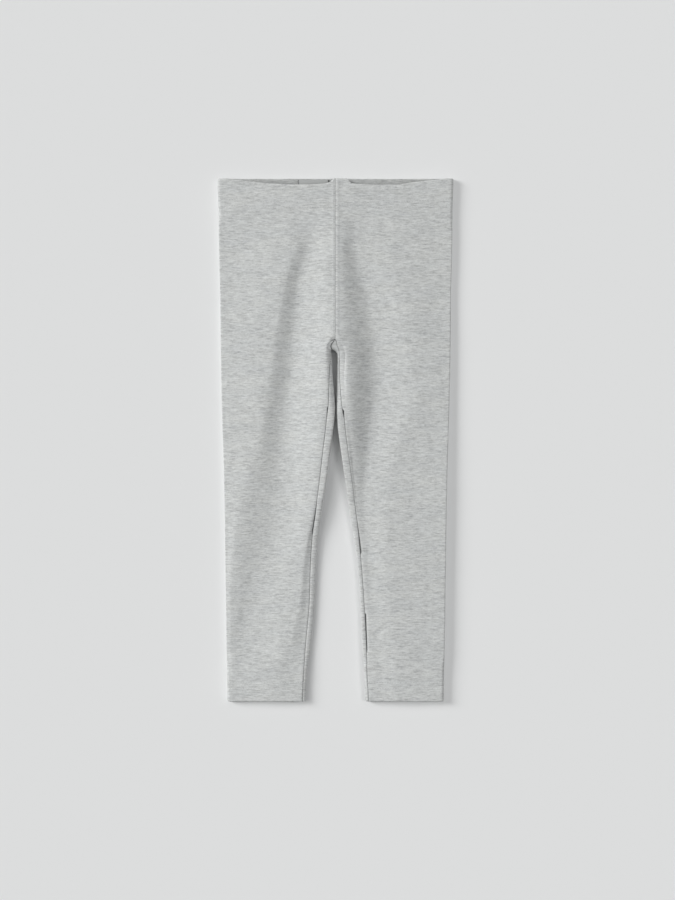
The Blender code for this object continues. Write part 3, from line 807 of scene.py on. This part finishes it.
def heatherJersey(side):
    made, nodes, links = newMaterial(f"{side}HeatherJersey")
    shader = nodes["Principled BSDF"]
    color = shade(jersey["color"], jersey["panelShade"][side])
    length, height = jersey["streakLength"], jersey["yarnHeight"]
    shift = jersey["panelShift"][side]
    marl = yarnStreaks(nodes, links, length, height, 4.0, shift)
    base = ramp(nodes, links, marl, (
        (0.25, shade(color, jersey["darkStreak"])),
        (0.5, color),
        (0.75, shade(color, jersey["lightStreak"])),
    ))
    fleck, mottle = jersey["fleck"], jersey["mottle"]
    dark = yarnStreaks(nodes, links, length * fleck["length"], height, 2.0, shift + 37.4)
    flecks = ramp(nodes, links, dark, ((0.6, (1, 1, 1)), (0.74, fleck["color"])))
    slow = slowNoise(
        nodes, links, length * mottle["length"], height * mottle["height"], (shift + 9.1, 2.3),
    )
    mottled = ramp(nodes, links, slow, ((0.3, mottle["color"]), (0.7, (1.0, 1.0, 0.995))))
    mixed = multiply(nodes, links, multiply(nodes, links, base, flecks), mottled)
    # Painted shade: the casing's inner ply, seen inside the back waist, is darker.
    casing = scaledGrain(nodes, links, cut["casingDepth"], cut["casingDepth"])
    along = nodes.new("ShaderNodeSeparateXYZ")
    links.new(casing, along.inputs["Vector"])
    inner = ramp(nodes, links, along.outputs["Y"], (
        (0.96, shade((1, 1, 1), jersey["casingPaintedShade"])), (0.99, (1, 1, 1)),
    ))
    mixed = multiply(nodes, links, mixed, inner)
    # Painted shade: the cloth is darkened along each seam's groove, by the weight on its edge
    # verts.
    seam = nodes.new("ShaderNodeAttribute")
    seam.attribute_name = "nearSeam"
    edges = ramp(nodes, links, seam.outputs["Fac"], (
        (0.0, (1, 1, 1)), (1.0, shade((1, 1, 1), jersey["grooveShadePainted"])),
    ))
    mixed = multiply(nodes, links, mixed, edges)
    links.new(mixed, shader.inputs["Base Color"])
    links.new(plainKnit(nodes, links), shader.inputs["Normal"])
    shader.inputs["Roughness"].default_value = jersey["roughness"]
    shader.inputs["Sheen Weight"].default_value = jersey["sheen"]
    shader.inputs["Sheen Roughness"].default_value = jersey["sheenRoughness"]
    shader.inputs["Specular IOR Level"].default_value = jersey["specular"]
    return made


thread = {"color": (0.72, 0.735, 0.73), "roughness": 0.7}


def cottonThread():
    made, nodes, links = newMaterial("cottonThread")
    shader = nodes["Principled BSDF"]
    coordinates = nodes.new("ShaderNodeTexCoord")
    texture = nodes.new("ShaderNodeTexNoise")
    texture.inputs["Scale"].default_value = 3000.0
    links.new(coordinates.outputs["Object"], texture.inputs["Vector"])
    color = ramp(nodes, links, texture.outputs["Fac"], (
        (0.3, shade(thread["color"], 0.82)), (0.7, shade(thread["color"], 1.1)),
    ))
    links.new(color, shader.inputs["Base Color"])
    shader.inputs["Roughness"].default_value = thread["roughness"]
    return made


# Stitches: rows of small thread loops that lie on the cloth, one mesh for each leg panel

stitch = {
    "length": 2.1,
    "pitch": 2.6,
    "thickness": 0.42,
    "sunk": 0.12,  # how deep a stitch lies in the cloth
    "firstAt": 0.6,
    "seamRow": 2.7,  # distance from the centre seam
    "waistRows": (21.0, 27.0),
    "hemRows": (503.0, 509.0),
}


def addStitch(bm, place, along, outward):
    found = bmesh.ops.create_uvsphere(bm, u_segments=6, v_segments=4, radius=0.5)
    size = Vector((stitch["thickness"], stitch["thickness"], stitch["length"]))
    bmesh.ops.scale(bm, verts=found["verts"], vec=size * mm)
    turn = along.to_track_quat("Z", "Y").to_matrix()
    bmesh.ops.rotate(bm, verts=found["verts"], cent=(0, 0, 0), matrix=turn)
    lift = cut["cloth"] / 2 + stitch["thickness"] / 2 - stitch["sunk"]
    bmesh.ops.translate(bm, verts=found["verts"], vec=place + outward * lift * mm)


def stitchLine(bm, side, points, outwards):
    lengths = lineLengths(points)
    count = int((lengths[-1] - stitch["firstAt"]) / stitch["pitch"])
    i = 0
    for n in range(count):
        place = stitch["firstAt"] + stitch["pitch"] * n
        while i < len(points) - 2 and lengths[i + 1] < place:
            i += 1
        t = (place - lengths[i]) / (lengths[i + 1] - lengths[i])
        spot = points[i].lerp(points[i + 1], t)
        ahead = toFrame(side, points[i + 1]) - toFrame(side, points[i])
        outward = outwards[i]
        outward = Vector((sides[side] * outward.x, 0, outward.z)).normalized()
        addStitch(bm, toFrame(side, spot), ahead.normalized(), outward)


def panelStitches(side, rows, finish):
    bm = bmesh.new()
    first = mesh["casingRows"] + mesh["turn"]  # the first row past the waist's turn
    last = len(rows) - 1 - mesh["hemRows"] - mesh["turn"]
    line = []
    outwards = []
    for row in rows[first:last]:
        if row[0].y > cut["frontRise"] - 1:
            break
        lengths = lineLengths(row)
        line.append(pointsAt(row, [stitch["seamRow"]])[0])
        n = next(i for i in range(len(row)) if lengths[i] >= stitch["seamRow"])
        outwards.append(-inwardOf(row)[n])
    stitchLine(bm, side, line, outwards)
    for down in stitch["waistRows"] + stitch["hemRows"]:
        row = finishedRow(side, rowAt(side, down))
        stop = mesh["front"] + mesh["fold"]
        stitchLine(bm, side, row[:stop], [-into for into in inwardOf(row)[:stop]])
    made = bpy.data.meshes.new(f"{side}LegStitches")
    for face in bm.faces:
        face.smooth = True
    bm.to_mesh(made)
    bm.free()
    piece = bpy.data.objects.new(made.name, made)
    bpy.context.scene.collection.objects.link(piece)
    piece.data.materials.append(finish)
    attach(piece, "root")
    return piece


# The plain label inside the back waist

label = {
    "across": (-37.5, -6.5),
    "down": (1.3, 12.5),
    "height": 2.9,
    "thickness": 0.8,
    "cells": (30, 12),
    "wave": 0.25,
    "waveLength": 5.3,  # length that a bend of one radian takes
    "waveFades": 16.0,
    "color": (0.385, 0.395, 0.39),
    "paintedEndShade": 0.4,  # painted shade at its sewn-down ends, as a share of its colour
    "weaveScale": 700.0,
    "weaveDepth": 0.05,
    "roughness": 0.55,
}


def wovenTape():
    made, nodes, links = newMaterial("wovenTape")
    shader = nodes["Principled BSDF"]
    coordinates = nodes.new("ShaderNodeTexCoord")
    waves = nodes.new("ShaderNodeTexWave")
    waves.bands_direction = "X"
    waves.inputs["Scale"].default_value = label["weaveScale"]
    waves.inputs["Distortion"].default_value = 0.4
    links.new(coordinates.outputs["Object"], waves.inputs["Vector"])
    color = ramp(nodes, links, waves.outputs["Fac"], (
        (0.0, shade(label["color"], 0.92)), (1.0, shade(label["color"], 1.06)),
    ))
    along = nodes.new("ShaderNodeSeparateXYZ")
    links.new(coordinates.outputs["Object"], along.inputs["Vector"])
    # Painted shade: the tape is darker at its two ends, where it is sewn down.
    low, high = label["across"]
    fromMiddle = mathNode(nodes, links, "SUBTRACT", along.outputs["X"], (low + high) / 2 * mm)
    share = mathNode(nodes, links, "DIVIDE", fromMiddle, (high - low) / 2 * mm)
    ends = ramp(nodes, links, mathNode(nodes, links, "ABSOLUTE", share), (
        (0.91, (1, 1, 1)), (0.94, shade((1, 1, 1), label["paintedEndShade"])),
    ))
    links.new(multiply(nodes, links, color, ends), shader.inputs["Base Color"])
    relieved = bumpFrom(nodes, links, waves.outputs["Fac"], 0.3, label["weaveDepth"])
    links.new(relieved, shader.inputs["Normal"])
    shader.inputs["Roughness"].default_value = label["roughness"]
    return made


def waistLabel():
    bm = bmesh.new()
    columns, rows = label["cells"]
    bmesh.ops.create_grid(bm, x_segments=columns, y_segments=rows, size=1)
    (x0, x1), (d0, d1) = label["across"], label["down"]
    for vert in bm.verts:
        x = x0 + (x1 - x0) * (vert.co.x + 1) / 2
        down = d0 + (d1 - d0) * (1 - vert.co.y) / 2
        lift = math.sin(x / label["waveLength"]) * (1 - down / label["waveFades"])
        height = label["height"] + label["wave"] + label["wave"] * lift
        vert.co = Vector((x, cut["length"] / 2 - down, height)) * mm
    for face in bm.faces:
        face.smooth = True
    made = bpy.data.meshes.new("waistLabelTape")
    bm.to_mesh(made)
    bm.free()
    piece = bpy.data.objects.new(made.name, made)
    bpy.context.scene.collection.objects.link(piece)
    wall = piece.modifiers.new("tape", "SOLIDIFY")
    wall.thickness = label["thickness"] * mm
    wall.offset = 0.0
    piece.data.materials.append(wovenTape())
    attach(piece, "root")
    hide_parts("waist_label_plain")
    return piece


# Floor, lights and camera

studio = {
    "floorSize": 40.0,  # metres
    "floorBelow": 0.2,
    "floorColor": (0.748, 0.755, 0.755),
    "floorRoughness": 0.95,
    "air": (0.95, 0.98, 1.0),
    "airStrength": 0.02,
    # Each light: direction around and above the ground, spread, strength on a level surface, and
    # what it lights: the cloth, the ground, or the ground with one leg alone shading it.
    "lights": (
        ("windowKey", 152, 23.5, 24, 1.10, "cloth"),
        ("overheadPanel", 0, 88, 110, 1.60, "cloth"),
        ("rightPanel", 0, 22, 30, 0.14, "cloth"),
        ("nearPanel", 270, 30, 30, 0.10, "cloth"),
        ("windowGround", 160, 24, 24, 1.08, "ground"),
        ("overheadGround", 0, 88, 110, 0.58, "ground"),
        ("waistGround", 90, 36, 24, 0.08, "ground"),
        ("leftGround", 184, 42, 28, 0.60, "right"),
        ("rightGround", 356, 46, 28, 0.60, "left"),
    ),
    "lens": 85.0,
    "frameHeight": 900.0,
    "frameCentre": (2.0, -10.0),
    "farthest": 20.0,  # metres
}


def buildStudio():
    scene = bpy.context.scene
    bm = bmesh.new()
    bmesh.ops.create_grid(bm, x_segments=2, y_segments=2, size=studio["floorSize"])
    bmesh.ops.translate(bm, verts=bm.verts, vec=(0, 0, -studio["floorBelow"] * mm))
    made = bpy.data.meshes.new("paleFloor")
    bm.to_mesh(made)
    bm.free()
    ground = bpy.data.objects.new("paleFloor", made)
    scene.collection.objects.link(ground)
    finish, nodes, links = newMaterial("palePaper")
    shader = nodes["Principled BSDF"]
    shader.inputs["Base Color"].default_value = (*studio["floorColor"], 1)
    shader.inputs["Roughness"].default_value = studio["floorRoughness"]
    shader.inputs["Specular IOR Level"].default_value = 0.1
    ground.data.materials.append(finish)

    air = bpy.data.worlds.new("studioAir")
    air.use_nodes = True
    air.node_tree.nodes["Background"].inputs["Color"].default_value = (*studio["air"], 1)
    air.node_tree.nodes["Background"].inputs["Strength"].default_value = studio["airStrength"]
    scene.world = air
    scene.view_settings.view_transform = "Standard"
    lamps = []
    for name, around, rise, spread, strength, target in studio["lights"]:
        around, rise = math.radians(around), math.radians(rise)
        lamp = bpy.data.lights.new(name, "SUN")
        lamp.energy = strength / math.sin(rise)
        lamp.angle = math.radians(spread)
        toLight = Vector((math.cos(around), math.sin(around), math.tan(rise)))
        lampObject = bpy.data.objects.new(name, lamp)
        lampObject.rotation_euler = toLight.to_track_quat("Z", "Y").to_euler()
        scene.collection.objects.link(lampObject)
        lamps.append((lampObject, target))

    camera = bpy.data.cameras.new("overhead")
    camera.lens = studio["lens"]
    camera.clip_end = studio["farthest"]
    cameraObject = bpy.data.objects.new("overhead", camera)
    across, along = studio["frameCentre"]
    distance = studio["frameHeight"] * camera.lens / camera.sensor_width
    cameraObject.location = Vector((across, along, distance)) * mm
    scene.collection.objects.link(cameraObject)
    scene.camera = cameraObject
    return ground, lamps


def objectGroup(name, items):
    made = bpy.data.collections.new(name)
    for item in items:
        made.objects.link(item)
    return made


def aimLights(ground, lamps, pieces):  # the cloth and the ground have lights of their own
    onCloth = objectGroup("litAsCloth", pieces)
    onGround = objectGroup("litAsGround", [ground])
    for lamp, target in lamps:
        lamp.light_linking.receiver_collection = onCloth if target == "cloth" else onGround
        if target in sides:
            shading = [piece for piece in pieces if piece.name.startswith(target)]
            lamp.light_linking.blocker_collection = objectGroup(f"{target}LegShades", shading)


ground, lamps = buildStudio()
pieces = []
print("studio ready")
threadFinish = cottonThread()
for side in sides:
    cloth, clothGrid = legCloth(side, heatherJersey(side))
    stitches = panelStitches(side, clothGrid, threadFinish)
    pieces += [cloth, stitches]
pieces.append(waistLabel())
print("label ready")
aimLights(ground, lamps, pieces)
